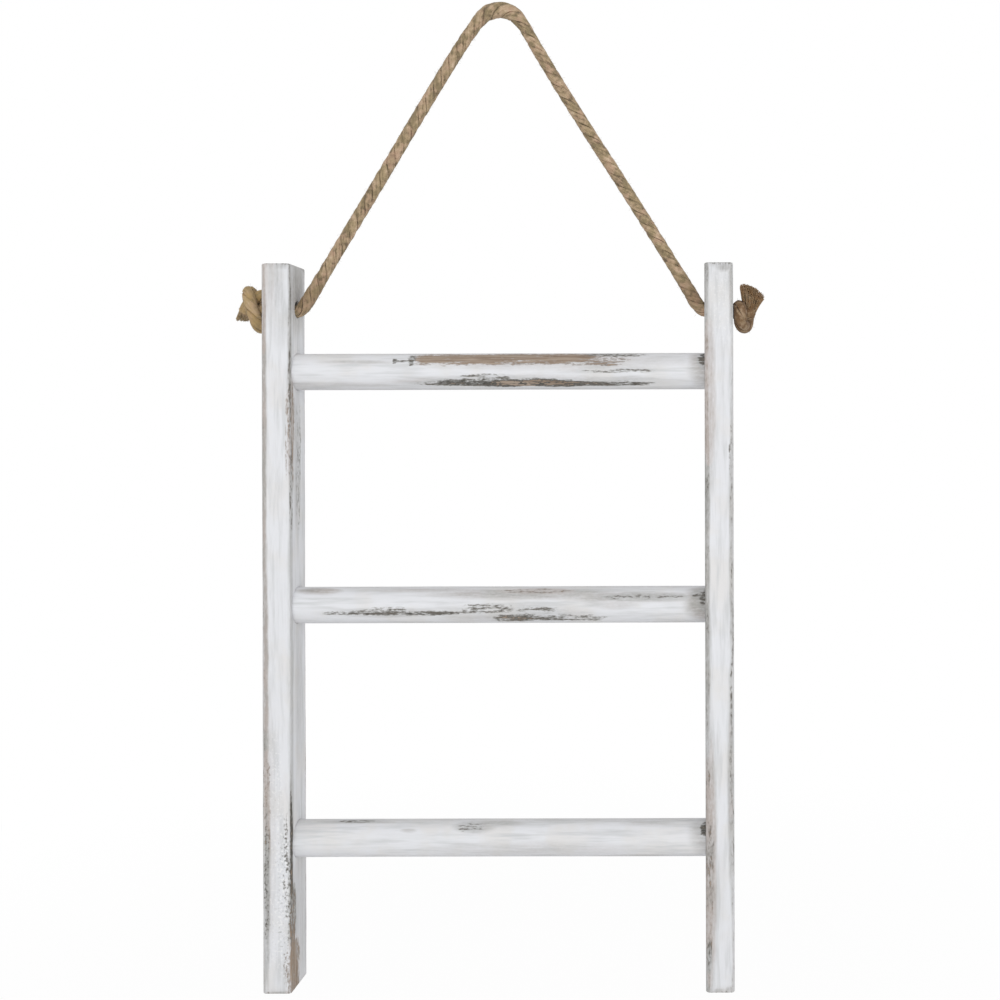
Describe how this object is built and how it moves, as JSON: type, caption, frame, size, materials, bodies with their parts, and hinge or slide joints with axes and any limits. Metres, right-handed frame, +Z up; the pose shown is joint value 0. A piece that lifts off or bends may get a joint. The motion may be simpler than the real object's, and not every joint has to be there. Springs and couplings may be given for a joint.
{
  "type": "wall towel ladder",
  "caption": "Small hanging towel ladder: round dowel rungs between two square-edged wooden rails, hung from a knotted jute rope, in sanded-back white paint.",
  "frame": {"origin": "the hanging point: the inside of the rope's bend, where it rests on a hook", "axes": "+Z up along the rails, +X to the right seen from the front, +Y towards the wall"},
  "size_m": [0.4527, 0.04, 0.8335],
  "materials": {
    "painted_wood": "chalky white paint sanded back to brown and dark stained timber in streaks and along the edges",
    "jute_rope": "natural tan three-strand jute, matt and hairy",
    "screw_steel": "zinc-plated countersunk wood screws"
  },
  "bodies": {
    "rope": {"hanging_rope": "jute_rope", "left_knot": "jute_rope", "right_knot": "jute_rope", "left_tail": "jute_rope", "right_tail": "jute_rope"},
    "ladder": {"left_rail": "painted_wood", "right_rail": "painted_wood", "top_rung": "painted_wood", "middle_rung": "painted_wood", "bottom_rung": "painted_wood", "rung_screws": "screw_steel"}
  },
  "joints": [
    {"name": "ladder_swing", "type": "hinge", "parent": "rope", "child": "ladder", "pos_m": [0, 0, -0.2495], "axis": [1, 0, 0], "range_deg": [-150, 150]}
  ]
}
